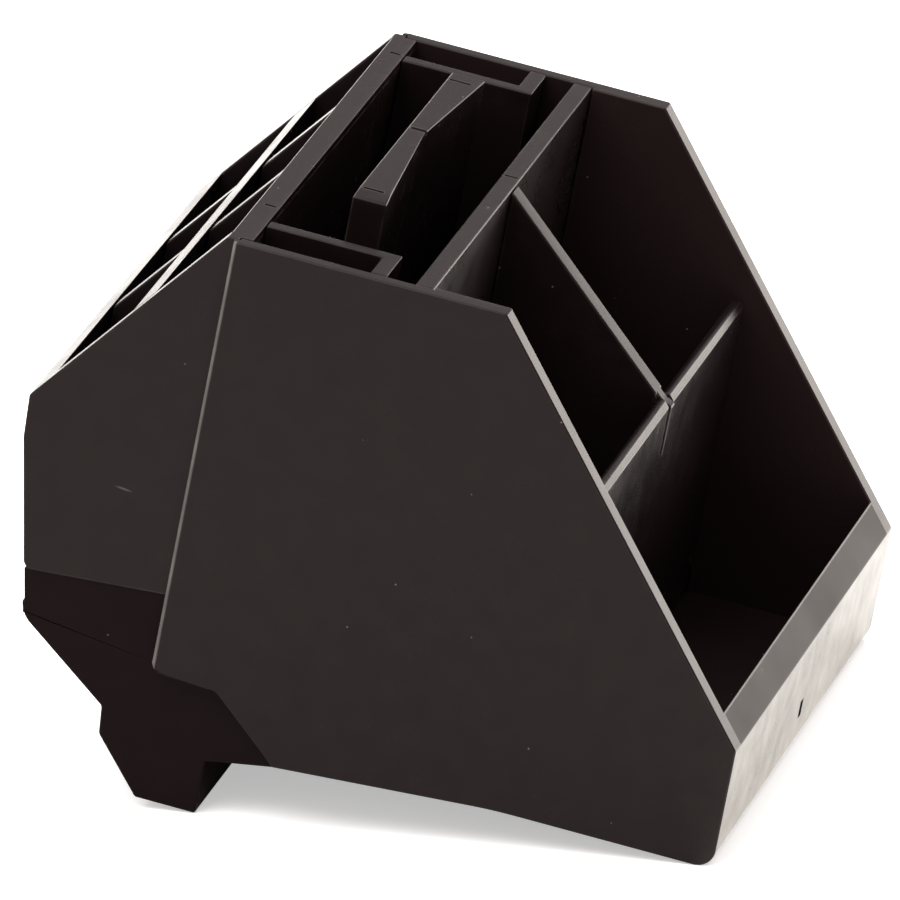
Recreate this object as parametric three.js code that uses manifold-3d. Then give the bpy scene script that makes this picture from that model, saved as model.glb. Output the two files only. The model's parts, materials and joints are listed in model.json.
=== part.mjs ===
// Desk organizer: a leaning two-module caddy of moulded black plastic.
//
// The front module is a deep tub with a pen well, two ruler slots, two upper bins and one
// wide lower bin. The rear module hangs on the front module's back wall and holds six small
// cells. A base moulding with a keel foot carries both at the back, so on a flat table the
// caddy leans forward onto the tub's rounded front edge.
//
// Everything is modelled upright first: x runs from the back wall to the front, y across the
// width and z up, with zero at the top of the back wall. The whole is then leaned and set
// down. Millimetres.

import * as THREE from 'three';
import { mergeVertices } from 'three/addons/utils/BufferGeometryUtils.js';
import Module from 'manifold-3d';

// ---- Driving dimensions -------------------------------------------------------------

const gap = 0.3;                 // clearance between neighbouring pieces
const frontHalfWidth = 88.05;    // half the width of the front module
const rearHalfWidth = 85.65;     // half the width of the rear module
const sideWall = 4.1;            // thickness of the side panels beside the pen well
const binWall = 5.6;             // and beside the bins
const rearSideWall = 4.6;
const floorWall = 3.0;           // thickness of the floors

const topDepth = 70.8;           // level top edge of the side panels
const frontX = 150.2;            // front face of the tub
const shoulderZ = -98.3;         // where the front slope meets the front face
const tubBottomZ = -131.1;       // underside of the tub
const frontWall = 6.05;         // front wall with the broad lip
const frontEdgeRadius = 5.0;     // rounded lower front edge
const slitHalfWidth = 1.6;       // moulding slit low on the front face
const slitDepth = 1.6;
const slitBottomZ = -120.6;
const slitTopZ = -115.8;
const bellyX = 92.0;             // behind this the underside drops gently
const bellyRadius = 150.0;
const notchX = 37.6;             // lower end of the chamfered back corner
const notchZ = -135.4;
const ledgeX = 18.4;             // the tub's ledge over the base
const ledgeZ = -117.6;
const lapBack = 1.4;             // the side panels lap over the rear module and the base
const lapLedgeX = 16.05;
const lapLedgeZ = -119.4;
const lapNotchX = 34.4;
const lapNotchZ = -135.6;
const lapRadius = 3.6;

const backWall = 2.95;           // back wall of the tub
const railBack = 45.65;          // wall with the broad rail between well and bins
const railFront = 50.7;
const slotWidth = 12.55;         // ruler slots beside the pen well
const slotLength = 30.6;
const slotWall = 4.0;
const slotEndWall = 4.4;

const crossX = 99.83;            // middle of the front cross divider
const crossThickness = 3.65;
const crossTopZ = -44.9;
const crossFacetDepth = 1.4;     // its top edge is cut along the slope at the front
const crossFacetHeight = 1.75;
const crossFacetRadius = 1.0;
const crossBackRadius = 1.6;     // and rounded at the back
const centreThickness = 6.2;
const centreTopZ = -0.55;        // the centre divider's top edge at the rail
const centreEndZ = -43.55;       // and where it meets the cross divider
const crossEndRadius = 5.0;      // rounded ends of the cross divider's top edge
const tongueThickness = 4.0;     // tongue of the centre divider in the cross divider's notch
const tongueProud = 0.5;
const tongueHeight = 15.5;

const gripRise = 6.5;            // hand grip above the rims
const gripBack = 19.6;
const gripWidth = 9.1;
const gripWaist = 4.9;           // width at the waist
const gripWaistY = 3.5;
const nickY = 4.9;               // the nick across the waist
const nickHalfWidth = 0.8;
const nickDepth = 1.2;
const gripHalfLength = 51.2;
const gripCrease = 43.8;         // beyond this the grip's top turns down
const gripEndDrop = 0.5;
const gripWallThickness = 1.8;

const rearTopX = -3.25;          // back edge of the rail that the two modules share
const rearX = -45.8;             // back edge of the rear slope
const rearShoulderZ = -55.4;
const rearBendX = -45.3;         // the rear wall bends in here
const rearBendZ = -67.0;
const rearBendRadius = 14.0;
const rearBottomX = -38.8;
const seamBackZ = -101.4;        // the seam to the base rises towards the tub
const seamFrontZ = -98.2;
const rearWall = 5.5;
const cellFloorZ = -82.0;
const rearCrossFront = -19.5;    // front face of the rear cross divider
const rearCrossThickness = 4.9;
const columnY = 26.4;            // middle of the rear column dividers
const columnThickness = 4.8;
const columnRecess = 1.0;        // column dividers stop this far below the rear slope
const flangeHeight = 2.0;        // hanging flange of the rear module

const tickWidth = 1.1;           // shallow witness marks that the mould leaves in the rails
const tickDepth = 0.8;
const rearRailTicks = [-57.0, 70.8];
const midRailTick = 6.3;
const gripTicks = [-44.5, 45.6];

const baseHalfTop = 84.95;       // the base narrows from its seam to the keel's sole
const baseHalfSole = 82.35;
const baseWall = 3.6;
const soleBackX = -0.2;
const soleFrontX = 16.0;
const soleZ = -155.8;

const ribSize = 1.6;             // low guide ribs that hold the plates
const ribHeight = 7.0;

const screwX = 9.2;
const screwRows = [-62, -36, 36, 62];
const screwHeadRadius = 2.8;
const screwHeadHeight = 1.9;
const screwShankRadius = 1.4;
const screwLength = 9.0;
const screwBoss = 7.3;           // thickness of the base under the tub's ledge

const blackAbs = { color: 0x322c2c, roughness: 0.34, metalness: 0 };
const darkAbs = { color: 0x1f1919, roughness: 0.45, metalness: 0 };
const zincSteel = { color: 0xb9bbbd, roughness: 0.35, metalness: 1 };

// ---- Solids -------------------------------------------------------------------------

const wasm = await Module();
wasm.setup();

/** A closed geometry as a solid that can be joined and cut. */
function solidOf(geometry) {
  const bare = geometry.clone();
  bare.deleteAttribute('normal');
  bare.deleteAttribute('uv');
  const merged = mergeVertices(bare, 1e-4);
  return new wasm.Manifold(new wasm.Mesh({
    numProp: 3,
    vertProperties: merged.attributes.position.array,
    triVerts: new Uint32Array(merged.index.array),
  }));
}

/** The solid's surface as a geometry. */
function geometryOf(solid) {
  const mesh = solid.getMesh();
  const geometry = new THREE.BufferGeometry();
  geometry.setAttribute('position', new THREE.BufferAttribute(mesh.vertProperties, 3));
  geometry.setIndex(new THREE.BufferAttribute(mesh.triVerts, 1));
  geometry.computeVertexNormals();
  return geometry;
}

/** A shape through corners of [x, z] or [x, z, radius]. */
function outline(corners) {
  const shape = new THREE.Shape();
  const count = corners.length;
  corners.forEach(([x, z, radius = 0], i) => {
    const here = new THREE.Vector2(x, z);
    const before = new THREE.Vector2(...corners[(i + count - 1) % count].slice(0, 2));
    const after = new THREE.Vector2(...corners[(i + 1) % count].slice(0, 2));
    const toBefore = before.sub(here).normalize();
    const toAfter = after.sub(here).normalize();
    const halfAngle = Math.acos(toBefore.dot(toAfter)) / 2;
    const reach = radius / Math.tan(halfAngle);
    const start = here.clone().addScaledVector(toBefore, reach);
    if (i === 0) shape.moveTo(start.x, start.y);
    else shape.lineTo(start.x, start.y);
    if (radius === 0) return;
    const middle = toBefore.clone().add(toAfter).normalize();
    const centre = here.clone().addScaledVector(middle, radius / Math.sin(halfAngle));
    const end = here.clone().addScaledVector(toAfter, reach);
    const startAngle = Math.atan2(start.y - centre.y, start.x - centre.x);
    const endAngle = Math.atan2(end.y - centre.y, end.x - centre.x);
    const clockwise = toBefore.cross(toAfter) > 0;
    shape.absarc(centre.x, centre.y, radius, startAngle, endAngle, clockwise);
  });
  shape.closePath();
  return shape;
}

/** A prism with its outline in the x-z plane, from yMin to yMax. */
function prismGeometry(corners, yMin, yMax) {
  const geometry = new THREE.ExtrudeGeometry(outline(corners), {
    depth: yMax - yMin,
    bevelEnabled: false,
    curveSegments: 10,
  });
  geometry.rotateX(Math.PI / 2);
  geometry.translate(0, yMax, 0);
  return geometry;
}

function prism(corners, yMin, yMax) {
  return solidOf(prismGeometry(corners, yMin, yMax));
}

/** A prism with its outline in the x-y plane, from zMin to zMax. */
function column(corners, zMin, zMax) {
  const geometry = new THREE.ExtrudeGeometry(outline(corners), {
    depth: zMax - zMin,
    bevelEnabled: false,
  });
  geometry.translate(0, 0, zMin);
  return solidOf(geometry);
}

/** A prism with its outline in the y-z plane, from xMin to xMax. */
function slab(corners, xMin, xMax) {
  const geometry = new THREE.ExtrudeGeometry(outline(corners), {
    depth: xMax - xMin,
    bevelEnabled: false,
    curveSegments: 8,
  });
  geometry.rotateX(Math.PI / 2);
  geometry.rotateZ(Math.PI / 2);
  geometry.translate(xMin, 0, 0);
  return solidOf(geometry);
}

function block(x0, x1, y0, y1, z0, z1) {
  const geometry = new THREE.BoxGeometry(x1 - x0, y1 - y0, z1 - z0);
  geometry.translate((x0 + x1) / 2, (y0 + y1) / 2, (z0 + z1) / 2);
  return solidOf(geometry);
}

/** An upright cylinder at (x, y) from z0 to z1. */
function post(x, y, radius, z0, z1) {
  const geometry = new THREE.CylinderGeometry(radius, radius, z1 - z0, 20);
  geometry.rotateX(Math.PI / 2);
  geometry.translate(x, y, (z0 + z1) / 2);
  return solidOf(geometry);
}

function joined(solids) {
  return solids.reduce((whole, next) => whole.add(next));
}

function cut(solid, tools) {
  return tools.reduce((left, tool) => left.subtract(tool), solid);
}

// ---- Front module -------------------------------------------------------------------

const wellFrontY = frontHalfWidth - sideWall;      // inner faces of the side panels
const binY = frontHalfWidth - binWall;             // and beside the bins
const pocketEnd = railFront + gap;                 // the partition stands against this step
const slotInnerY = wellFrontY - slotWidth;         // slot side of each slot wall
const wellEndY = slotInnerY - slotWall;            // well side of each slot wall
const tubFloorZ = tubBottomZ + floorWall;          // floor under the bins
const ledgeFloorZ = ledgeZ + floorWall;            // floor over the base
const notchFloorZ = notchZ + floorWall;
const ledgeEnd = ledgeX + 1.2;
const notchEnd = notchX + 1.2;
const aboveRim = 20;                               // cuts that open upwards end here

/** Height of the tub's floor at x. */
function floorHeight(x) {
  const part = THREE.MathUtils.inverseLerp;
  const blend = THREE.MathUtils.lerp;
  if (x <= ledgeEnd) return ledgeFloorZ;
  if (x <= notchEnd) return blend(ledgeFloorZ, notchFloorZ, part(ledgeEnd, notchEnd, x));
  if (x <= bellyX) return blend(notchFloorZ, tubFloorZ, part(notchEnd, bellyX, x));
  return tubFloorZ;
}

const tubOutline = [
  [-lapBack, 0],
  [topDepth, 0],
  [frontX, shoulderZ],
  [frontX, tubBottomZ, frontEdgeRadius],
  [bellyX, tubBottomZ, bellyRadius],
  [lapNotchX, lapNotchZ],
  [lapLedgeX, lapLedgeZ, lapRadius],
  [-lapBack, lapLedgeZ, lapRadius],
];

// Between the side panels' laps the rear module and the base sit against the tub.
const saddle = [
  [-lapBack - 1, 1],
  [0, 1],
  [0, ledgeZ],
  [ledgeX, ledgeZ],
  [notchX, notchZ],
  [notchX, notchZ - 5],
  [-lapBack - 1, notchZ - 5],
];

const tubHollow = [
  [backWall, aboveRim],
  [backWall, ledgeFloorZ],
  [ledgeEnd, ledgeFloorZ],
  [notchEnd, notchFloorZ],
  [bellyX, tubFloorZ],
  [frontX - frontWall, tubFloorZ],
  [frontX - frontWall, aboveRim],
];

/** A shallow mark across a rail from x0 to x1, in a top face at height z. */
function tick(x0, x1, y, z) {
  return block(x0, x1, y - tickWidth / 2, y + tickWidth / 2, z - tickDepth, z + 1);
}

/** A low guide rib in the corner of the floor and one side panel, whose inner face is at y. */
function guideRib(x, y) {
  const inner = y - Math.sign(y) * ribSize;
  const outer = y + Math.sign(y) * 0.5;
  const footZ = floorHeight(x) - 0.5;
  return block(x, x + ribSize, Math.min(inner, outer), Math.max(inner, outer), footZ, footZ + ribHeight);
}

function frontShell() {
  const wells = prism(tubHollow, -wellFrontY, wellFrontY)
    .intersect(block(0, pocketEnd, -wellFrontY, wellFrontY, notchZ, aboveRim));
  const body = cut(prism(tubOutline, -frontHalfWidth, frontHalfWidth), [
    wells,
    prism(tubHollow, -binY, binY),
    prism(saddle, -rearHalfWidth - gap, rearHalfWidth + gap),
    // seat for the rear module's hanging flange
    block(-1, backWall + 1, -wellFrontY, wellFrontY, -flangeHeight - gap, 1),
    block(frontX - slitDepth, frontX + 1, -slitHalfWidth, slitHalfWidth, slitBottomZ, slitTopZ),
    ...screwRows.map((y) => post(screwX, y, screwShankRadius + gap, ledgeZ - 1, ledgeFloorZ + 1)),
  ]);
  const halfCross = crossThickness / 2;
  const ribs = [-1, 1].flatMap((side) => [
    guideRib(railBack - gap - ribSize, side * wellFrontY),
    guideRib(crossX - halfCross - gap - ribSize, side * binY),
    guideRib(crossX + halfCross + gap, side * binY),
  ]);
  return joined([body, ...ribs]);
}

function midPartition() {
  const foot = floorHeight(railFront) + gap;
  const plate = block(railBack, railFront, -wellFrontY + gap, wellFrontY - gap, foot, 0);
  const ribInner = centreThickness / 2 + gap;
  const ribs = [-1, 1].map((side) => {
    const ends = [side * ribInner, side * (ribInner + ribSize)].sort((a, b) => a - b);
    return block(railFront - 0.5, railFront + ribSize, ...ends, foot + 2, foot + ribHeight);
  });
  return cut(joined([plate, ...ribs]), [tick(railBack + 0.8, railFront - 0.7, midRailTick, 0)]);
}

/** An L-shaped wall that closes one ruler slot off from the pen well. */
function slotWallSolid(side) {
  const slotFront = backWall + gap + slotLength;
  const endFront = slotFront + slotEndWall;
  const long = [
    [backWall + gap, ledgeFloorZ + gap],
    [ledgeEnd + gap, ledgeFloorZ + gap],
    [endFront, floorHeight(endFront) + gap],
    [endFront, 0],
    [backWall + gap, 0],
  ];
  const end = [
    [slotFront, floorHeight(slotFront) + 2 * gap],
    [endFront, floorHeight(endFront) + gap],
    [endFront, 0],
    [slotFront, 0],
  ];
  const y = [side * wellEndY, side * slotInnerY, side * (wellFrontY - gap)];
  const longWall = prism(long, Math.min(y[0], y[1]), Math.max(y[0], y[1]));
  const endWall = prism(end, Math.min(y[0], y[2]), Math.max(y[0], y[2]));
  return joined([longWall, endWall]);
}

/** The hand grip: a hollow wall in the pen well, waisted on its front side. */
function gripWall() {
  const gripFront = gripBack + gripWidth;
  const foot = ledgeFloorZ + gap;
  const plan = (inset) => [
    [gripBack + inset, -gripHalfLength + inset],
    [gripFront - inset, -gripHalfLength + inset],
    [gripBack + gripWaist - inset, gripWaistY],
    [gripFront - inset, gripHalfLength - inset],
    [gripBack + inset, gripHalfLength - inset],
  ];
  return cut(column(plan(0), foot, gripRise), [
    column(plan(gripWallThickness), foot - 1, gripRise - 5 * gripWallThickness),
    endDrop(),
    ...gripTicks.map((y) => tick(gripBack + 1.0, gripBack + gripWidth - 2.6, y, gripRise)),
    block(
      gripBack + 0.9,
      gripBack + gripWaist + 1,
      nickY - nickHalfWidth,
      nickY + nickHalfWidth,
      gripRise - nickDepth,
      gripRise + 1,
    ),
  ]);
}

/** Wedge that turns the grip's top down towards its near end. */
function endDrop() {
  const past = gripHalfLength + 2;
  const slope = gripEndDrop / (gripHalfLength - gripCrease);
  return slab([
    [-gripCrease, gripRise + 2],
    [-past, gripRise + 2],
    [-past, gripRise - slope * (past - gripCrease)],
    [-gripCrease, gripRise],
  ], gripBack - 1, gripBack + gripWidth + 1);
}

function frontCrossDivider() {
  const back = crossX - crossThickness / 2;
  const front = crossX + crossThickness / 2;
  const roundTop = [
    [back, tubFloorZ + gap],
    [front, tubFloorZ + gap],
    [front, crossTopZ - crossFacetHeight, crossFacetRadius],
    [front - crossFacetDepth, crossTopZ, crossFacetRadius],
    [back, crossTopZ, crossBackRadius],
  ];
  const halfLength = binY - gap;
  const face = [
    [-halfLength, tubFloorZ],
    [halfLength, tubFloorZ],
    [halfLength, crossTopZ, crossEndRadius],
    [-halfLength, crossTopZ, crossEndRadius],
  ];
  const halfSlot = tongueThickness / 2 + gap;
  return cut(prism(roundTop, -halfLength, halfLength).intersect(slab(face, back - 1, front + 1)), [
    block(back - 1, front + 1, -halfSlot, halfSlot, crossTopZ - tongueHeight - gap, 0),
  ]);
}

function frontCentreDivider() {
  const half = centreThickness / 2;
  const rear = railFront + gap;
  const meet = crossX - crossThickness / 2 - gap;
  const tip = crossX + crossThickness / 2 + tongueProud;
  const plate = prism([
    [rear, floorHeight(rear) + gap],
    [bellyX, tubFloorZ + gap],
    [meet, tubFloorZ + gap],
    [meet, centreEndZ],
    [rear, centreTopZ],
  ], -half, half);
  const fall = (centreTopZ - centreEndZ) / (meet - rear);
  const tongue = prism([
    [meet - 1, crossTopZ - tongueHeight],
    [tip, crossTopZ - tongueHeight],
    [tip, crossTopZ - crossFacetHeight],
    [meet + (centreEndZ - crossTopZ) / fall, crossTopZ],
    [meet, centreEndZ],
    [meet - 1, centreEndZ],
  ], -tongueThickness / 2, tongueThickness / 2);
  return joined([plate, tongue]);
}

// ---- Rear module --------------------------------------------------------------------

const slopeRate = rearShoulderZ / (rearX - rearTopX);

/** Height of the rear slope at x. */
function rearSlopeZ(x) {
  return slopeRate * (x - rearTopX);
}

const rearInnerY = rearHalfWidth - rearSideWall;
const rearInnerFront = rearTopX;                   // cell side of the rear module's front wall
const rearInnerBack = rearX + rearWall;
const cellBendZ = -66.0;                           // the cells' back narrows below this
const cellFloorBack = rearInnerBack + 3.0;

function rearShell() {
  const hull = prism([
    [-gap, 0],
    [rearTopX, 0],
    [rearX, rearShoulderZ],
    [rearBendX, rearBendZ, rearBendRadius],
    [rearBottomX, seamBackZ, 2.5],
    [-gap, seamFrontZ],
  ], -rearHalfWidth, rearHalfWidth);
  const cells = prism([
    [rearInnerFront, 1],
    [rearInnerBack, 1],
    [rearInnerBack, cellBendZ],
    [cellFloorBack, cellFloorZ],
    [rearInnerFront, cellFloorZ],
  ], -rearInnerY, rearInnerY);
  const skirt = prism([
    [-gap - floorWall, cellFloorZ - floorWall],
    [cellFloorBack + 0.5, cellFloorZ - floorWall],
    [rearBottomX + rearWall, seamBackZ - 1],
    [-gap - floorWall, seamBackZ - 1],
  ], -rearInnerY, rearInnerY);
  const flange = block(rearTopX, backWall, -wellFrontY + gap, wellFrontY - gap, -flangeHeight, 0);
  const marks = rearRailTicks.map((y) => tick(-1, 2, y, 0));
  return cut(joined([cut(hull, [cells, skirt]), flange]), marks);
}

function rearCrossDivider() {
  const front = rearCrossFront;
  const back = rearCrossFront - rearCrossThickness;
  const halfSlot = columnThickness / 2 + gap;
  const plate = prism([
    [back, cellFloorZ + gap],
    [front, cellFloorZ + gap],
    [front, rearSlopeZ(front)],
    [back, rearSlopeZ(back)],
  ], -rearInnerY + gap, rearInnerY - gap);
  const lapTop = rearSlopeZ(front) - 24;
  return cut(plate, [-columnY, columnY].map((y) => (
    block(back - 1, front + 1, y - halfSlot, y + halfSlot, cellFloorZ - 1, lapTop)
  )));
}

/** One of the two plates that part the rear module into columns. */
function rearColumnDivider(y) {
  const x0 = rearInnerBack + gap;
  const x1 = rearInnerFront - gap;
  const plate = prism([
    [cellFloorBack + gap, cellFloorZ + gap],
    [x1, cellFloorZ + gap],
    [x1, rearSlopeZ(x1) - columnRecess],
    [x0, rearSlopeZ(x0) - columnRecess],
    [x0, cellBendZ],
  ], y - columnThickness / 2, y + columnThickness / 2);
  const lapTop = rearSlopeZ(rearCrossFront) - 24 - gap;
  const back = rearCrossFront - rearCrossThickness;
  return cut(plate, [
    block(back - gap, rearCrossFront + gap, y - columnThickness, y + columnThickness, lapTop, 1),
  ]);
}

// ---- Base ---------------------------------------------------------------------------

/** Draws the sides of a prism in towards its foot, one rate of taper all the way. */
function taperSides(geometry, halfAtTop, halfAtSole) {
  const topZ = seamFrontZ - gap;
  const position = geometry.attributes.position;
  for (let i = 0; i < position.count; i += 1) {
    const along = (topZ - position.getZ(i)) / (topZ - soleZ);
    const half = THREE.MathUtils.lerp(halfAtTop, halfAtSole, along);
    position.setY(i, Math.sign(position.getY(i)) * half);
  }
  return geometry;
}

function baseKeel() {
  const outer = prismGeometry([
    [-gap, seamFrontZ - gap],
    [rearBottomX, seamBackZ - gap],
    [-37.6, -114.3, 8],
    [-12.9, -133.5],
    [-12.3, -141.2],
    [soleBackX, soleZ],
    [soleFrontX, soleZ],
    [soleFrontX, -140.9],
    [37.0, -137.0],
    [36.9, -135.4],
    [ledgeX - 0.2, ledgeZ - gap],
    [-gap, ledgeZ - gap],
  ], -1, 1);
  const hollow = prismGeometry([
    [-gap - floorWall, seamFrontZ + 5],
    [rearBottomX + rearWall, seamFrontZ + 5],
    [rearBottomX + rearWall, -111.0],
    [-8.4, -132.0],
    [-8.4, -140.0],
    [1.6, soleZ + 3.2],
    [soleFrontX - baseWall, soleZ + 3.2],
    [soleFrontX - baseWall, -136.0],
    [14.5, -130.0],
    [14.5, ledgeZ - screwBoss],
    [-gap - floorWall, ledgeZ - screwBoss],
  ], -1, 1);
  const shell = solidOf(taperSides(outer, baseHalfTop, baseHalfSole))
    .subtract(solidOf(taperSides(hollow, baseHalfTop - baseWall, baseHalfSole - baseWall)));
  const boreDepth = screwLength;
  return cut(shell, screwRows.map((y) => (
    post(screwX, y, screwShankRadius + gap, ledgeZ - boreDepth, ledgeZ + 1)
  )));
}

/** Pan-head screw through the tub's ledge floor into the base. */
function baseScrew(y) {
  const seat = ledgeFloorZ + 0.1;
  const head = post(screwX, y, screwHeadRadius, seat, seat + screwHeadHeight);
  const shank = post(screwX, y, screwShankRadius, seat - screwLength, seat + 0.5);
  const slotHalf = 0.4;
  const slotDepth = 0.8;
  return cut(joined([head, shank]), [
    block(screwX - 4, screwX + 4, y - slotHalf, y + slotHalf, seat + screwHeadHeight - slotDepth, seat + 4),
    block(screwX - slotHalf, screwX + slotHalf, y - 4, y + 4, seat + screwHeadHeight - slotDepth, seat + 4),
  ]);
}

// ---- Assembly -----------------------------------------------------------------------

function piece(name, solid, look) {
  const mesh = new THREE.Mesh(geometryOf(solid), new THREE.MeshStandardMaterial(look));
  mesh.name = name;
  return mesh;
}

const frontModule = new THREE.Group();
frontModule.add(
  piece('front_shell', frontShell(), blackAbs),
  piece('mid_partition', midPartition(), blackAbs),
  piece('slot_wall_near', slotWallSolid(-1), blackAbs),
  piece('slot_wall_far', slotWallSolid(1), blackAbs),
  piece('grip_wall', gripWall(), blackAbs),
  piece('front_cross_divider', frontCrossDivider(), blackAbs),
  piece('front_centre_divider', frontCentreDivider(), blackAbs),
);

const rearModule = new THREE.Group();
rearModule.add(
  piece('rear_shell', rearShell(), blackAbs),
  piece('rear_cross_divider', rearCrossDivider(), blackAbs),
  piece('rear_column_divider_near', rearColumnDivider(-columnY), blackAbs),
  piece('rear_column_divider_far', rearColumnDivider(columnY), blackAbs),
);

const base = new THREE.Group();
base.add(piece('base_keel', baseKeel(), darkAbs));
screwRows.forEach((y, i) => base.add(piece(`base_screw_${i + 1}`, baseScrew(y), zincSteel)));

// The lean at which the keel's front lower edge and the tub's rounded front edge share a plane.
const reach = frontX - frontEdgeRadius - soleFrontX;
const rise = tubBottomZ + frontEdgeRadius - soleZ;
const lean = Math.atan2(rise, reach) - Math.asin(frontEdgeRadius / Math.hypot(reach, rise));

const leaning = new THREE.Group();
leaning.add(frontModule, rearModule, base);
leaning.rotation.y = lean;

// Set down with its lowest edges at z = 0 and its box centred on the origin.
const organizer = new THREE.Group();
organizer.add(leaning);
organizer.updateMatrixWorld(true);
const extent = new THREE.Box3().setFromObject(organizer, true);
leaning.position.set(
  -(extent.min.x + extent.max.x) / 2,
  -(extent.min.y + extent.max.y) / 2,
  -extent.min.z,
);

export default organizer;
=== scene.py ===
"""The looks of a leaning desk organizer in moulded black ABS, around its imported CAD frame."""

import json
import math

import bmesh
import bpy
from mathutils import Matrix, Vector


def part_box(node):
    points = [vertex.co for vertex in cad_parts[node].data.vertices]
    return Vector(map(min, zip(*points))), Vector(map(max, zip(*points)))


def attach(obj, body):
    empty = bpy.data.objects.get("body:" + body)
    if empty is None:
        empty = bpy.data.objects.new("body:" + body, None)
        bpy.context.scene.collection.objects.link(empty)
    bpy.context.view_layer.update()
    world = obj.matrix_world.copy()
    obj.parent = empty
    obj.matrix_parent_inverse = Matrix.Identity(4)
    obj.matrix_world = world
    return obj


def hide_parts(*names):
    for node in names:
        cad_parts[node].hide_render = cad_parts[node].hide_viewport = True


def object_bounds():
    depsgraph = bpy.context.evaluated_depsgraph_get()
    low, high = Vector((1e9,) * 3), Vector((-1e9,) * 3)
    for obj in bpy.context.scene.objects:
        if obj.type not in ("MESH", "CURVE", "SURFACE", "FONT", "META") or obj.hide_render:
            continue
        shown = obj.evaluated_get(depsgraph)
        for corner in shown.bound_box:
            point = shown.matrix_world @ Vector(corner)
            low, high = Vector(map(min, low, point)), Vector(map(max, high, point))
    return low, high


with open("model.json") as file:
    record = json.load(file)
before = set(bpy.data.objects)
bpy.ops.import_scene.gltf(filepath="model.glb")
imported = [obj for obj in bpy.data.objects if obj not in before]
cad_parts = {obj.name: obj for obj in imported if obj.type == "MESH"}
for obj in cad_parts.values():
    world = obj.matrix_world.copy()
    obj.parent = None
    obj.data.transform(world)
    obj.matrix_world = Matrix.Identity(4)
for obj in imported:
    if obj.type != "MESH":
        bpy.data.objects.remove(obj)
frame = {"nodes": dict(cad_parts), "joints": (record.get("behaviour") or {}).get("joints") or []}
cad_low, cad_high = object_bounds()

MM = 0.001
NODES = frame["nodes"]

# The caddy stands leaned forward, so the looks are placed in its own upright axes: x from the
# back wall of the tub to its front, y across and z up from the rims, in millimetres.
UPRIGHT = Vector(next(j["axis"] for j in frame["joints"] if j["name"] == "rear_module_lift"))
FORWARD = Vector((UPRIGHT.z, 0.0, -UPRIGHT.x))
SHELL_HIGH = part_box("front_shell")[1]
TUB_FRONT = 150.2
SHOULDER_Z = -98.3
LAP = 1.4                        # how far the side panels reach behind the back wall
ZERO = Vector((SHELL_HIGH.x, 0.0, SHELL_HIGH.z))
ZERO.x -= (TUB_FRONT * FORWARD.x + SHOULDER_Z * UPRIGHT.x) * MM
ZERO.z -= LAP * UPRIGHT.x * MM

SIDE_Y = 88.05                   # outer face of the side panels
WELL_Y = 83.95                   # their inner face beside the pen well
BIN_Y = 82.45                    # and beside the bins
LAP_Y = 85.95                    # inner face of their laps behind the back wall
LIP_X = 144.15                   # inner face of the front wall
NICK_Y = 4.9                     # middle of the nick across the hand grip
SEAM_Z = -103.0                  # the base's seam lies above this
BACK_CHAMFER = 0.85              # cut along the side panels' back edges
LAP_CORNER_X = 2.3               # the chamfer ends past the rounded corner of the lap
NEAR = 0.1                       # how close to a face still counts as on it

# How edges are found and rounded.
SHARP_ANGLE = math.radians(25)
FLAT_ANGLE = math.radians(0.5)
MERGE_MM = 0.005
WIDTH_FOR_ROUND = 2.2            # a face has to be this many radii wide to be rounded
WIDTH_FOR_CHAMFER = 1.1          # or to be cut off flat
FEET_Z = -112.0                  # the plates' feet lie below this
SEATS_Z = -99.0                  # and the tub's seats
MODULE_SEAM_Z = -97.0            # and the rear module's seam
DIVIDER_TOP_Z = -56.0            # the cross divider's top lies above this
USUAL_RADIUS = 0.45
OUTER_RADIUS = 0.5               # outer edges of the two shells
RUBBED_RADIUS = 0.6              # rail and grip, along their tops
DIVIDER_RADIUS = 0.35
BASE_RADIUS = 0.7
SCREW_RADIUS = 0.2

# The skin of the plastic.
ABS_IOR = 1.24                   # ABS is about 1.53; lowered until reflections matched
GRAIN_BUMP = 0.5
FLOW_MM = 38.0                   # broad changes of gloss
PATCH_MM = 8.0                   # patches where hands have been
GLOSS_DRIFT = 0.04
MID_NOISE = (0.3, 0.7)           # the part of a noise's range that is used
WIDE_NOISE = (0.25, 0.75)
EDGE_TURN = (0.985, 0.80)        # cosine of the turn where rubbing starts and is full
EDGE_REACH_MM = 0.8              # rubbed edges show this far from the corner
RUBBED_FADE_MM = 8.0             # and fade towards the seam over this height
DUST_CELL_MM = 7.0
DUST_OUTER = 0.040               # a speck's edge and middle, as shares of its cell
DUST_INNER = 0.018
DUSTLESS_SHARE = 0.5             # share of the cells that hold no speck
LIP_DULLING = 0.24               # how much rougher the front lip is
LIP_DULLING_VARIES = 0.03
INSIDE_PAINTED_FILL = "#201717"        # paler than the outside as painted fill light in the tub's hollows, and a little redder
SCRATCH_GREY = "#4c4644"
# pale grey painted highlight along the side panels' back-edge chamfer
BACK_EDGE_HIGHLIGHT_GREY = "#6c6663"
DUST_GREY = "#8c8782"
EDGE_GREY = "#57504d"
BASE_EDGE_GREY = "#2c2624"
SKIN_TINT = "#fff8f7"
LIP_TINT = "#fbeedd"

TUMBLING_MM = 0.7                # marks in the screws' plating
SCREWS = 4


def upright(point):
    """A point of the room in the caddy's own millimetres."""
    offset = (point - ZERO) / MM
    return Vector((offset.dot(FORWARD), offset.y, offset.dot(UPRIGHT)))


def placed(x, y, z):
    """A point given in the caddy's own millimetres, in the room."""
    return ZERO + (FORWARD * x + UPRIGHT * z + Vector((0.0, y, 0.0))) * MM


# ---- Small helpers ------------------------------------------------------------------

MATH = "ShaderNodeMath"
VECTOR_MATH = "ShaderNodeVectorMath"
MAP_RANGE = "ShaderNodeMapRange"  # value, from low, from high, to low, to high
MIX = "ShaderNodeMix"            # of colours: share 0, first 6, second 7
NOISE = "ShaderNodeTexNoise"
PARTS_OF_VECTOR = "ShaderNodeSeparateXYZ"
TEXTURE_PLACE = "ShaderNodeTexCoord"


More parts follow.
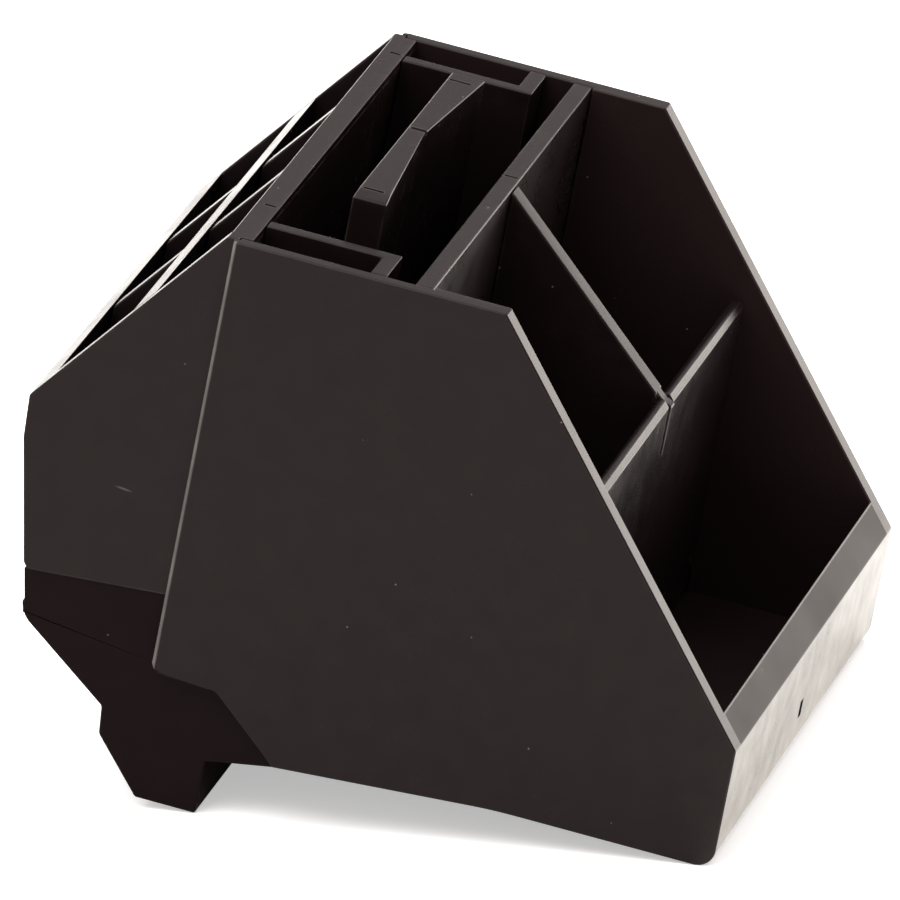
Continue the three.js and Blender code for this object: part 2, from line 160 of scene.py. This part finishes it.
def linear(hex_colour):
    """An sRGB hex colour as linear RGBA."""
    channels = [int(hex_colour[i : i + 2], 16) / 255 for i in (1, 3, 5)]
    return [c / 12.92 if c <= 0.04045 else ((c + 0.055) / 1.055) ** 2.4 for c in channels] + [1.0]


def add(tree, kind, links=(), **settings):
    """Adds a node, sets its properties, and sets or links its sockets, which are given in their
    order or by name or number. A node given for a socket is linked by its output in use."""
    made = tree.nodes.new(kind)
    for name, value in settings.items():
        setattr(made, name, value)
    for socket, value in links.items() if isinstance(links, dict) else enumerate(links):
        if isinstance(value, bpy.types.Node):
            value = next(output for output in value.outputs if output.enabled)
        if isinstance(value, bpy.types.NodeSocket):
            tree.links.new(value, made.inputs[socket])
        else:
            made.inputs[socket].default_value = value
    return made


def all_of(tree, *shares):
    """The product of several shares: where all of them hold."""
    product = shares[0]
    for share in shares[1:]:
        product = add(tree, MATH, (product, share), operation="MULTIPLY")
    return product


def new_material(name):
    material = bpy.data.materials.new(name)
    material.use_nodes = True
    material.node_tree.nodes.clear()
    return material, material.node_tree


def finish_material(tree, shader):
    add(tree, "ShaderNodeOutputMaterial", {"Surface": shader})


# ---- Materials ----------------------------------------------------------------------


def reach_along(tree, place, start, axis):
    """How far a place lies from a start along an axis, in metres."""
    offset = add(tree, VECTOR_MATH, (place, start), operation="SUBTRACT")
    return add(tree, VECTOR_MATH, (offset, axis), operation="DOT_PRODUCT")


def along(tree, place, axis):
    """Distance in millimetres from the caddy's own zero along one of its own directions."""
    reach = reach_along(tree, place, ZERO, axis)
    return add(tree, MATH, (reach, MM), operation="DIVIDE")


def across_metres(tree, place):
    """Distance from the caddy's middle plane, in metres."""
    y = add(tree, PARTS_OF_VECTOR, (place,)).outputs["Y"]
    return add(tree, MATH, (y,), operation="ABSOLUTE")


def scratch(tree, place, at, tilt, length_mm, width_mm):
    """One along a short scratch in a side face, tilted from the caddy's forward direction."""
    run = FORWARD * math.cos(tilt) + UPRIGHT * math.sin(tilt)
    across = UPRIGHT * math.cos(tilt) - FORWARD * math.sin(tilt)
    inward = Vector((0.0, 1.0, 0.0))
    start = placed(*at)
    shares = []
    for axis, reach in ((run, length_mm / 2), (across, width_mm / 2), (inward, 0.5)):
        away = add(tree, MATH, (reach_along(tree, place, start, axis),), operation="ABSOLUTE")
        shares.append(add(tree, MAP_RANGE, (away, reach * MM, 0.3 * reach * MM)))
    return all_of(tree, *shares)


def front_lip(tree, place):
    """Where the slope along the top of the front wall lies."""
    x = along(tree, place, FORWARD)
    z = along(tree, place, UPRIGHT)
    y = across_metres(tree, place)
    ahead = add(tree, MATH, (x, LIP_X + 0.5), operation="GREATER_THAN")
    within = add(tree, MATH, (y, (BIN_Y - 0.2) * MM), operation="LESS_THAN")
    above = add(tree, MATH, (z, SHOULDER_Z - 0.2), operation="GREATER_THAN")
    return all_of(tree, ahead, within, above)


def inside_tub(tree, place):
    """Where the inner faces of the pen well and the bins lie."""
    x = along(tree, place, FORWARD)
    y = across_metres(tree, place)
    past_back = add(tree, MATH, (x, 2.0), operation="GREATER_THAN")
    before_front = add(tree, MATH, (x, LIP_X + NEAR), operation="LESS_THAN")
    within = add(tree, MATH, (y, (WELL_Y + NEAR) * MM), operation="LESS_THAN")
    return all_of(tree, past_back, before_front, within)


def cut_back_edge(tree, place):
    """Where the flat cut along the side panels' back edges lies."""
    x = along(tree, place, FORWARD)
    y = across_metres(tree, place)
    cut_ends = BACK_CHAMFER - LAP
    outward = add(tree, MATH, (y, (SIDE_Y - BACK_CHAMFER + 0.02) * MM), operation="GREATER_THAN")
    return all_of(tree, outward, add(tree, MAP_RANGE, (x, cut_ends + 0.4, cut_ends - 0.05)))


def moulded_abs(
    name, pigment, worn, *, rough, mottle, grain_mm, grain_depth_mm, dust, wear,
    shine=0.5, rubbed_edge=EDGE_GREY, lip=False, scratches=(),
):
    """Injection-moulded ABS, black all through with a warm cast: a fine even grain from the
    mould, gloss that varies in patches where hands have polished it, edges rubbed paler, and
    a few specks of dust, which lie in the open compartments too. With lip set it also has the
    tub's duller front lip, insides painted paler as fill light and a little redder, and a
    painted highlight in pale grey along the side panels' back-edge chamfer. Short scratches
    can be put in."""
    material, tree = new_material(name)
    place = add(tree, TEXTURE_PLACE).outputs["Object"]
    grain, flow, patches = [
        add(tree, NOISE, {"Vector": place, "Scale": 1 / (size * MM), "Detail": detail})
        for size, detail in ((grain_mm, 3.0), (FLOW_MM, 4.0), (PATCH_MM, 5.0))
    ]

    # rubbed edges: where the surface within a short reach turns away
    softened = add(tree, "ShaderNodeBevel", {"Radius": EDGE_REACH_MM * MM}, samples=4)
    flat = add(tree, "ShaderNodeNewGeometry").outputs["True Normal"]
    alike = add(tree, VECTOR_MATH, (softened, flat), operation="DOT_PRODUCT")
    edge = add(tree, MAP_RANGE, (alike, *EDGE_TURN))
    handled = add(tree, MAP_RANGE, (patches, 0.35, 0.7, 0.2 * wear, wear))
    height = along(tree, place, UPRIGHT)
    above_seam = add(tree, MAP_RANGE, (height, SEAM_Z, SEAM_Z + RUBBED_FADE_MM))
    rubbed = all_of(tree, edge, handled, above_seam)

    # dust: the middles of a few scattered cells
    cells = add(tree, "ShaderNodeTexVoronoi", {"Vector": place, "Scale": 1 / (DUST_CELL_MM * MM)})
    spot = add(tree, MAP_RANGE, (cells.outputs["Distance"], DUST_OUTER, DUST_INNER))
    draw = add(tree, "ShaderNodeSeparateColor", {"Color": cells.outputs["Color"]}).outputs[0]
    drawn = add(tree, MATH, (draw, DUSTLESS_SHARE), operation="GREATER_THAN")
    dusty = all_of(tree, spot, drawn, dust)

    tone = add(tree, MAP_RANGE, (patches, *MID_NOISE, 0.0, 0.3))
    coats = [(tone, worn)]
    if lip:
        # the tub's inner faces are painted paler: painted fill light where the lamps leave them
        # dark
        coats.append((inside_tub(tree, place), INSIDE_PAINTED_FILL))
    coats.append((rubbed, rubbed_edge))
    coats += [(scratch(tree, place, **mark), SCRATCH_GREY) for mark in scratches]
    coats.append((dusty, DUST_GREY))
    if lip:
        # a painted highlight in pale grey on the side panels' back-edge chamfer, stronger in some
        # patches
        uneven_highlight = add(tree, MAP_RANGE, (patches, *MID_NOISE, 0.6, 1.0))
        coats.append((all_of(tree, cut_back_edge(tree, place), uneven_highlight), BACK_EDGE_HIGHLIGHT_GREY))
    colour = linear(pigment)
    for share, coat in coats:
        colour = add(tree, MIX, {0: share, 6: colour, 7: linear(coat)}, data_type="RGBA")

    gloss = add(tree, MAP_RANGE, (flow, *MID_NOISE, rough - GLOSS_DRIFT, rough + GLOSS_DRIFT))
    polish = add(tree, MAP_RANGE, (patches, *WIDE_NOISE))
    uneven = add(tree, MATH, (polish, mottle, gloss), operation="MULTIPLY_ADD")
    tint = linear(SKIN_TINT)
    if lip:
        on_lip = front_lip(tree, place)
        dullest = LIP_DULLING + LIP_DULLING_VARIES
        least_dull = LIP_DULLING - LIP_DULLING_VARIES
        duller = add(tree, MAP_RANGE, (patches, *WIDE_NOISE, dullest, least_dull))
        uneven = add(tree, MATH, (on_lip, duller, uneven), operation="MULTIPLY_ADD")
        tint = add(tree, MIX, {0: on_lip, 6: tint, 7: linear(LIP_TINT)}, data_type="RGBA")
    depth = {"Strength": GRAIN_BUMP, "Distance": grain_depth_mm * MM}
    bump = add(tree, "ShaderNodeBump", {"Height": grain, **depth})
    shader = add(
        tree,
        "ShaderNodeBsdfPrincipled",
        {
            "Base Color": colour,
            "Roughness": uneven,
            "IOR": ABS_IOR,
            "Specular IOR Level": shine,
            "Specular Tint": tint,
            "Normal": bump,
        },
    )
    finish_material(tree, shader)
    return material


def zinc_plate(name):
    """Zinc-plated steel, barrel finished: a cool grey metal with fine tumbling marks."""
    material, tree = new_material(name)
    place = add(tree, TEXTURE_PLACE).outputs["Object"]
    marks = add(tree, NOISE, {"Vector": place, "Scale": 1 / (TUMBLING_MM * MM), "Detail": 4.0})
    bump = add(tree, "ShaderNodeBump", {"Height": marks, "Strength": 0.2, "Distance": 0.05 * MM})
    greys = {0: marks, 6: linear("#b4b7b9"), 7: linear("#cdd0d1")}
    shader = add(
        tree,
        "ShaderNodeBsdfPrincipled",
        {
            "Base Color": add(tree, MIX, greys, data_type="RGBA"),
            "Metallic": 1.0,
            "Roughness": add(tree, MAP_RANGE, (marks, 0.0, 1.0, 0.25, 0.5)),
            "Normal": bump,
        },
    )
    finish_material(tree, shader)
    return material


MODULE_SCRATCH = {
    "at": (-17.3, -85.65, -73.4),
    "tilt": math.radians(-5),
    "length_mm": 5.0,
    "width_mm": 0.7,
}

# Satin black for the shells, a coarser grain for what stands inside, a rougher one still for
# the rail, and a matt grain with little shine for the base.
PANEL_ABS = moulded_abs(
    "moulded_abs_satin", "#161011", "#221a19",
    rough=0.20, mottle=0.08, grain_mm=0.5, grain_depth_mm=0.010, dust=0.6, wear=0.8,
    lip=True, scratches=[MODULE_SCRATCH],
)
INNER_ABS = moulded_abs(
    "moulded_abs_inner", "#140d0e", "#1f1716",
    rough=0.22, mottle=0.06, grain_mm=0.6, grain_depth_mm=0.028, dust=0.9, wear=1.0,
)
RAIL_ABS = moulded_abs(
    "moulded_abs_rubbed", "#171112", "#251c1b",
    rough=0.26, mottle=0.05, grain_mm=0.6, grain_depth_mm=0.032, dust=1.0, wear=1.0,
)
BASE_ABS = moulded_abs(
    "moulded_abs_matt_grain", "#140b0c", "#1a1213", rubbed_edge=BASE_EDGE_GREY,
    shine=0.16, rough=0.42, mottle=0.06, grain_mm=0.8, grain_depth_mm=0.030, dust=0.3, wear=0.4,
)
SCREW_ZINC = zinc_plate("zinc_plated_steel")


# ---- Pieces -------------------------------------------------------------------------


def reach_from(edge):
    """How far the shorter of an edge's two faces reaches from it, in millimetres."""
    start = edge.verts[0].co
    line = (edge.verts[1].co - start).normalized()
    spans = []
    for face in edge.link_faces:
        spans.append(max((vert.co - start).cross(line).length for vert in face.verts))
    return min(spans) / MM


def mould_radius(low, high):
    """The usual rounding of a moulded edge, with the feet of the plates left sharp."""
    return 0.0 if max(low.z, high.z) < FEET_Z else USUAL_RADIUS


def shell_radius(low, high):
    """The side panels' back edges are cut off flat, the rims are fine and the seats sharp."""
    highest = max(low.z, high.z)
    inmost = min(abs(low.y), abs(high.y))
    if inmost > SIDE_Y - NEAR:
        return BACK_CHAMFER if max(low.x, high.x) < LAP_CORNER_X else OUTER_RADIUS
    if highest < SEATS_Z or abs(inmost - LAP_Y) < NEAR:
        return 0.0
    # just below the rim at the back
    if -2.6 < min(low.z, high.z) < -1.0 and max(low.x, high.x) < 4:
        return 0.0
    return USUAL_RADIUS


def module_radius(low, high):
    """The rear module is sharp along its seam and where it meets the tub."""
    if max(low.z, high.z) < MODULE_SEAM_Z or min(low.x, high.x) > -0.5:
        return 0.0
    return OUTER_RADIUS


def rail_radius(low, high):
    """The mid partition's rail is rounder along its top, where hands rub it."""
    return RUBBED_RADIUS if min(low.z, high.z) > -1 else mould_radius(low, high)


def grip_radius(low, high):
    """So is the hand grip, with its nick left sharp."""
    if max(abs(low.y - NICK_Y), abs(high.y - NICK_Y)) < 1.5:
        return 0.0
    return RUBBED_RADIUS if min(low.z, high.z) > 0 else mould_radius(low, high)


def divider_radius(low, high):
    """The cross divider is only rounded along its top."""
    return DIVIDER_RADIUS if min(low.z, high.z) > DIVIDER_TOP_Z else 0.0


def base_radius(low, high):
    """The base is soft all round, and sharp along its seam."""
    return 0.0 if max(low.z, high.z) > SEAM_Z else BASE_RADIUS


def fine_radius(low, high):
    """The screws are barely rounded."""
    return SCREW_RADIUS


def rounded(node, name, radius_rule):
    """A merged copy of a CAD node with its sharp edges rounded as the mould rounds them. The
    flat chamfer may fill a narrow face, since the far edge of that face stays sharp."""
    copy = bmesh.new()
    copy.from_mesh(NODES[node].data)
    bmesh.ops.remove_doubles(copy, verts=copy.verts, dist=MERGE_MM * MM)
    bmesh.ops.dissolve_limit(
        copy,
        angle_limit=FLAT_ANGLE,
        verts=copy.verts,
        edges=copy.edges,
        use_dissolve_boundaries=False,
    )
    done = set()
    while True:
        sharp = {}
        for edge in copy.edges:
            if len(edge.link_faces) != 2 or edge.calc_face_angle() < SHARP_ANGLE:
                continue
            radius = radius_rule(*[upright(vert.co) for vert in edge.verts])
            needed = WIDTH_FOR_CHAMFER if radius == BACK_CHAMFER else WIDTH_FOR_ROUND
            if radius and reach_from(edge) > needed * radius:
                sharp.setdefault(radius, []).append(edge)
        left = sorted((r for r in sharp if r not in done), reverse=True)
        if not left:
            break
        widest = left[0]
        done.add(widest)
        bmesh.ops.bevel(
            copy,
            geom=sharp[widest],
            offset=widest * MM,
            offset_type="OFFSET",
            affect="EDGES",
            segments=1 if widest == BACK_CHAMFER else 4,
            profile=0.5,
            clamp_overlap=False,
            material=-1,
        )
    for face in copy.faces:
        face.smooth = True
    for edge in copy.edges:
        if len(edge.link_faces) == 2 and edge.calc_face_angle() > SHARP_ANGLE:
            edge.smooth = False
    mesh = bpy.data.meshes.new(name)
    copy.to_mesh(mesh)
    copy.free()
    piece = bpy.data.objects.new(name, mesh)
    bpy.context.scene.collection.objects.link(piece)
    shading = piece.modifiers.new("flat_faces_stay_flat", "WEIGHTED_NORMAL")
    shading.mode = "FACE_AREA"
    shading.weight = 80
    shading.keep_sharp = True
    return piece


LOOKS = {
    "front_shell": ("front_module", PANEL_ABS, shell_radius),
    "mid_partition": ("front_module", RAIL_ABS, rail_radius),
    "slot_wall_near": ("front_module", INNER_ABS, mould_radius),
    "slot_wall_far": ("front_module", INNER_ABS, mould_radius),
    "grip_wall": ("front_module", INNER_ABS, grip_radius),
    "front_cross_divider": ("cross_divider", INNER_ABS, divider_radius),
    "front_centre_divider": ("centre_divider", INNER_ABS, mould_radius),
    "rear_shell": ("rear_module", PANEL_ABS, module_radius),
    "rear_cross_divider": ("rear_module", PANEL_ABS, mould_radius),
    "rear_column_divider_near": ("rear_module", PANEL_ABS, mould_radius),
    "rear_column_divider_far": ("rear_module", PANEL_ABS, mould_radius),
    "base_keel": ("front_module", BASE_ABS, base_radius),
}
for i in range(SCREWS):
    LOOKS[f"base_screw_{i + 1}"] = ("front_module", SCREW_ZINC, fine_radius)

for node, (body, material, radius_rule) in LOOKS.items():
    piece = rounded(node, node + "_moulded", radius_rule)
    piece.data.materials.append(material)
    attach(piece, body)
    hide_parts(node)


# ---- Floor, light and camera --------------------------------------------------------


FLOOR_LIFT = 0.45                # added to the floor so that it reads white
FLOOR_PAINTED_GLOW = 0.10               # and a painted glow on it seen only in reflections, kept off the floor under the caddy as a painted shadow
FRONT_PAINTED_GLOW = 1.5                # the painted glow is brightest in front of it, a painted pool of light
UNDER_MM = (-13, -8)             # where the painted shadow gives way to the glow, measured outward from the caddy's sides
ROOM_FILL = 0.75                 # the room's strength for soft fill
ROOM_GLOSS = 0.65                # and in reflections
MIDDLE = (cad_low + cad_high) / 2
WHITE = "#ffffff"
FLOOR_TINT = "#fff7ec"           # the warmth of the floor's painted glow in reflections
ROOM_TINT = "#fff8f6"            # and the room's, in all but the camera's view
CAMERA_AZIMUTH = math.radians(14.1)
CAMERA_ELEVATION = math.radians(19.2)
CAMERA_AIM = (47.66, -0.35, -74.27)
CAMERA_AWAY = 5.109
CAMERA_LENS_MM = 797.6


def pale_floor():
    """A plain pale floor, white where the eye sees it, with the shadow kept. In reflections it has
    a painted glow, brightest in front of the caddy, with a painted shadow under it.
    """
    bpy.ops.mesh.primitive_plane_add(size=12)
    floor = bpy.context.object
    floor.name = "floor"
    material, tree = new_material("pale_floor")
    rays = add(tree, "ShaderNodeLightPath")
    in_gloss = rays.outputs["Is Glossy Ray"]
    matt = add(tree, "ShaderNodeBsdfDiffuse", {"Color": linear("#f4f3f1")})
    for_eye = all_of(tree, rays.outputs["Is Camera Ray"], FLOOR_LIFT)

    # how far a spot lies outside the caddy; the painted glow is kept off the floor beneath it, a
    # painted shadow
    place = add(tree, TEXTURE_PLACE).outputs["Object"]
    spot = add(tree, PARTS_OF_VECTOR, (place,))
    sideways = add(tree, MATH, (spot.outputs["Y"],), operation="ABSOLUTE")
    ahead = add(tree, MATH, (spot.outputs["X"], SHELL_HIGH.x), operation="SUBTRACT")
    beside = add(tree, MATH, (sideways, SHELL_HIGH.y), operation="SUBTRACT")
    behind = add(tree, MATH, (cad_low.x, spot.outputs["X"]), operation="SUBTRACT")
    outside = add(tree, MATH, (ahead, beside), operation="MAXIMUM")
    outside = add(tree, MATH, (outside, behind), operation="MAXIMUM")
    dark, lit = (reach * MM for reach in UNDER_MM)
    clear_of_painted_shadow = add(tree, MAP_RANGE, (outside, dark, lit))
    # a painted pool of light: the glow in reflections grows brighter in front of the caddy
    painted_glow_ahead = add(tree, MAP_RANGE, (ahead, dark, lit, FLOOR_PAINTED_GLOW, FRONT_PAINTED_GLOW))
    for_gloss = all_of(tree, in_gloss, clear_of_painted_shadow, painted_glow_ahead)

    tints = {0: in_gloss, 6: linear(WHITE), 7: linear(FLOOR_TINT)}
    tint = add(tree, MIX, tints, data_type="RGBA")
    strength = add(tree, MATH, (for_eye, for_gloss), operation="ADD")
    lift = add(tree, "ShaderNodeEmission", {"Color": tint, "Strength": strength})
    finish_material(tree, add(tree, "ShaderNodeAddShader", (matt, lift)))
    floor.data.materials.append(material)


def turned(at, away):
    """Placed at a point, with the back towards a direction."""
    return Matrix.Translation(at) @ away.to_track_quat("Z", "Y").to_matrix().to_4x4()


def softbox(name, at, aim, width, height, radiance, tint=WHITE, mirrored=True):
    """A soft panel of even radiance, hidden from the camera and, if asked, from reflections."""
    lamp = bpy.data.lights.new(name, "AREA")
    lamp.shape = "RECTANGLE"
    lamp.size = width
    lamp.size_y = height
    lamp.energy = radiance * math.pi * width * height
    lamp.color = linear(tint)[:3]
    holder = bpy.data.objects.new(name, lamp)
    holder.visible_camera = False
    holder.visible_glossy = mirrored
    holder.matrix_world = turned(at, at - aim)
    bpy.context.scene.collection.objects.link(holder)


def white_room():
    """White all round for the camera, a little greyer in reflections and for soft fill."""
    world = bpy.data.worlds.new("white_room")
    bpy.context.scene.world = world
    world.use_nodes = True
    tree = world.node_tree
    tree.nodes.clear()
    rays = add(tree, "ShaderNodeLightPath")
    seen = rays.outputs["Is Camera Ray"]
    for_eye = all_of(tree, seen, 1.0 - ROOM_FILL)
    for_gloss = all_of(tree, rays.outputs["Is Glossy Ray"], ROOM_GLOSS - ROOM_FILL)
    extra = add(tree, MATH, (for_eye, for_gloss), operation="ADD")
    strength = add(tree, MATH, (extra, ROOM_FILL), operation="ADD")
    tints = {0: seen, 6: linear(ROOM_TINT), 7: linear(WHITE)}
    tint = add(tree, MIX, tints, data_type="RGBA")
    sky = add(tree, "ShaderNodeBackground", {"Color": tint, "Strength": strength})
    add(tree, "ShaderNodeOutputWorld", {"Surface": sky})


pale_floor()
white_room()
softbox(
    "overhead", Vector((-0.35, -0.45, 1.3)), MIDDLE,
    width=1.3, height=1.3, radiance=4.0,
)
softbox(
    "back_wall", Vector((0.25, 1.25, 0.15)), Vector((0.1, 0.0, 0.12)),
    width=2.6, height=0.3, radiance=3.3, tint="#fff7f0",
)
softbox(
    "behind", Vector((0.2, 0.95, 0.75)), Vector((0.2, 0.95, 0.0)),
    width=1.3, height=1.0, radiance=4.0, mirrored=False,
)


def camera():
    """A long lens from the front left of the caddy's side, a little above it."""
    away = Vector(
        (
            math.sin(CAMERA_AZIMUTH) * math.cos(CAMERA_ELEVATION),
            -math.cos(CAMERA_AZIMUTH) * math.cos(CAMERA_ELEVATION),
            math.sin(CAMERA_ELEVATION),
        )
    )
    aim = placed(*CAMERA_AIM)
    lens = bpy.data.cameras.new("camera")
    lens.lens = CAMERA_LENS_MM
    lens.sensor_width = 36.0
    holder = bpy.data.objects.new("camera", lens)
    holder.matrix_world = turned(aim + away * CAMERA_AWAY, away)
    bpy.context.scene.collection.objects.link(holder)
    bpy.context.scene.camera = holder


camera()
bpy.context.scene.view_settings.view_transform = "Standard"
